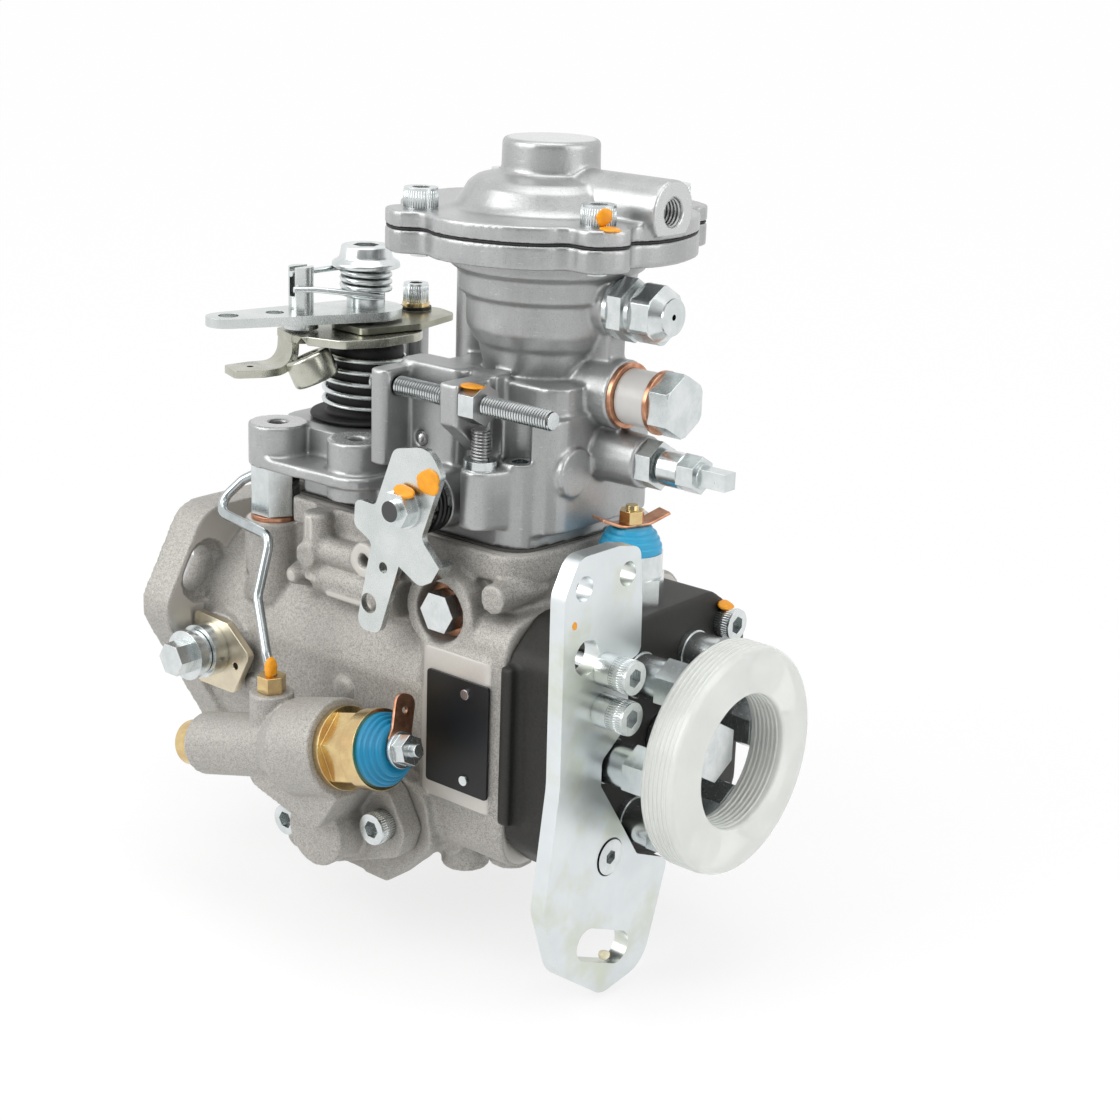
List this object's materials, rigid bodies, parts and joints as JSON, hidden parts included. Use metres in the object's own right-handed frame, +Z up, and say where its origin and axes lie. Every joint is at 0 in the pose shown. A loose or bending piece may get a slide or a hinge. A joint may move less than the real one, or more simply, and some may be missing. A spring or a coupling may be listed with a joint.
{
  "type": "diesel injection pump",
  "caption": "Distributor-type diesel injection pump with a flanged housing, governor cover, boost compensator, throttle and shut-off levers and capped outlets.",
  "frame": {"origin": "on the drive shaft's axis, in the front face of the mounting flange", "axes": "+X along the drive shaft towards the outlets, -Y the side of the levers, +Z up"},
  "size_m": [0.258, 0.14, 0.25],
  "materials": {
    "housing_casting": "sand cast, matt",
    "cover_casting": "die cast, satin",
    "black_steel": "black oxide",
    "zinc_steel": "clear zinc plate",
    "yellow_zinc": "yellow zinc plate",
    "bare_steel": "machined",
    "copper": "copper",
    "brass": "satin brass and bronze",
    "black_rubber": "moulded rubber",
    "clear_plastic": "clear sleeve",
    "cap_plastic": "translucent transport cap",
    "blue_plastic": "blue insulator",
    "black_plate": "black anodised plate"
  },
  "bodies": {
    "pump": {"pump_housing": "housing_casting", "governor_cover": "cover_casting", "seals": "black_rubber", "boost_lid": "cover_casting", "boost_diaphragm": "black_rubber", "vent_fitting": "zinc_steel", "banjo_bolt": "zinc_steel", "copper_washers": "copper", "banjo_sleeve": "clear_plastic", "adjusting_screws": "zinc_steel", "dust_boot": "black_rubber", "boot_spring": "zinc_steel", "pressure_valve": "zinc_steel", "pressure_pipe": "zinc_steel", "pipe_nut": "yellow_zinc", "lock_bolt": "zinc_steel", "lock_plate": "yellow_zinc", "timer_cover": "housing_casting", "timer_end_cap": "housing_casting", "coldstart_valve": "brass", "insulators": "blue_plastic", "terminal_tabs": "copper", "sealing_plugs": "zinc_steel", "name_plate": "black_plate", "distributor_head": "black_steel", "socket_screws": "zinc_steel", "bracket_plate": "zinc_steel", "delivery_valves": "zinc_steel", "port_cap": "cap_plastic", "stop_solenoid": "zinc_steel", "shaft_bush": "brass", "vane_ring": "bare_steel", "governor_shaft": "bare_steel", "inner_springs": "bare_steel"},
    "throttle": {"throttle_shaft": "bare_steel", "throttle_lever": "zinc_steel", "throttle_spring": "zinc_steel", "throttle_knob": "zinc_steel", "idle_lever": "yellow_zinc"},
    "shutoff": {"shutoff_shaft": "zinc_steel", "shutoff_lever": "zinc_steel", "shutoff_spring": "black_steel"},
    "boost": {"boost_pin": "bare_steel", "boost_spring": "bare_steel"},
    "rotor": {"drive_shaft": "bare_steel", "vane_rotor": "bare_steel", "drive_gear": "brass", "cam_plate": "bare_steel", "plunger": "bare_steel"},
    "cage": {"governor_cage": "brass"},
    "sleeve": {"governor_sleeve": "bare_steel"},
    "weight_1": {"flyweight_1": "bare_steel"},
    "weight_2": {"flyweight_2": "bare_steel"},
    "weight_3": {"flyweight_3": "bare_steel"},
    "weight_4": {"flyweight_4": "bare_steel"},
    "lever": {"governor_lever": "zinc_steel"},
    "spool": {"control_spool": "bare_steel"},
    "piston": {"timing_piston": "bare_steel"},
    "ring": {"roller_ring": "bare_steel"},
    "armature": {"stop_armature": "bare_steel"}
  },
  "joints": [
    {"name": "drive_shaft_spin", "type": "hinge", "parent": "pump", "child": "rotor", "pos_m": [0.05, 0, 0], "axis": [1, 0, 0], "continuous": true},
    {"name": "governor_spin", "type": "hinge", "parent": "pump", "child": "cage", "pos_m": [0.06, 0, 0.04], "axis": [1, 0, 0], "continuous": true},
    {"name": "sleeve_slide", "type": "slide", "parent": "pump", "child": "sleeve", "axis": [1, 0, 0], "range_m": [0, 0.002]},
    {"name": "lever_swing", "type": "hinge", "parent": "pump", "child": "lever", "pos_m": [0.118, 0, 0.022], "axis": [0, 1, 0], "range_deg": [0, 6.9]},
    {"name": "spool_slide", "type": "slide", "parent": "pump", "child": "spool", "axis": [1, 0, 0], "range_m": [-0.0015, 0]},
    {"name": "timing_slide", "type": "slide", "parent": "pump", "child": "piston", "axis": [0, -1, 0], "range_m": [0, 0.004]},
    {"name": "ring_turn", "type": "hinge", "parent": "pump", "child": "ring", "pos_m": [0.09, 0, 0], "axis": [-1, 0, 0], "range_deg": [0, 6.1]},
    {"name": "throttle_turn", "type": "hinge", "parent": "pump", "child": "throttle", "pos_m": [0.05, -0.005, 0.1], "axis": [0, 0, 1], "range_deg": [0, 45]},
    {"name": "shutoff_turn", "type": "hinge", "parent": "pump", "child": "shutoff", "pos_m": [0.112, -0.04, 0.0695], "axis": [0, 1, 0], "range_deg": [0, 40], "stiffness_Nm_per_rad": 0.1, "springref_deg": -17.19},
    {"name": "boost_slide", "type": "slide", "parent": "pump", "child": "boost", "axis": [0, 0, -1], "range_m": [0, 0.003], "stiffness_N_per_m": 5000, "springref_m": -0.003, "deforming": ["boost_spring"]},
    {"name": "stop_slide", "type": "slide", "parent": "pump", "child": "armature", "axis": [0, 0, 1], "range_m": [0, 0.002], "stiffness_N_per_m": 1500, "springref_m": -0.002},
    {"name": "flyweight_1_swing", "type": "hinge", "parent": "cage", "child": "weight_1", "pos_m": [0.064, 0.011, 0.04], "axis": [0, 0, 1], "range_deg": [0, 19]},
    {"name": "flyweight_2_swing", "type": "hinge", "parent": "cage", "child": "weight_2", "pos_m": [0.064, 0, 0.051], "axis": [0, -1, 0], "range_deg": [0, 19]},
    {"name": "flyweight_3_swing", "type": "hinge", "parent": "cage", "child": "weight_3", "pos_m": [0.064, -0.011, 0.04], "axis": [0, 0, -1], "range_deg": [0, 19]},
    {"name": "flyweight_4_swing", "type": "hinge", "parent": "cage", "child": "weight_4", "pos_m": [0.064, 0, 0.029], "axis": [0, 1, 0], "range_deg": [0, 19]}
  ],
  "couplings": [
    {"joint": "governor_spin", "follows": "drive_shaft_spin", "ratio": -1.6667},
    {"joint": "lever_swing", "follows": "sleeve_slide", "rad_per_m": 60},
    {"joint": "spool_slide", "follows": "sleeve_slide", "ratio": -0.75},
    {"joint": "ring_turn", "follows": "timing_slide", "rad_per_m": 26.32},
    {"joint": "flyweight_1_swing", "follows": "sleeve_slide", "rad_per_m": 165},
    {"joint": "flyweight_2_swing", "follows": "sleeve_slide", "rad_per_m": 165},
    {"joint": "flyweight_3_swing", "follows": "sleeve_slide", "rad_per_m": 165},
    {"joint": "flyweight_4_swing", "follows": "sleeve_slide", "rad_per_m": 165}
  ]
}
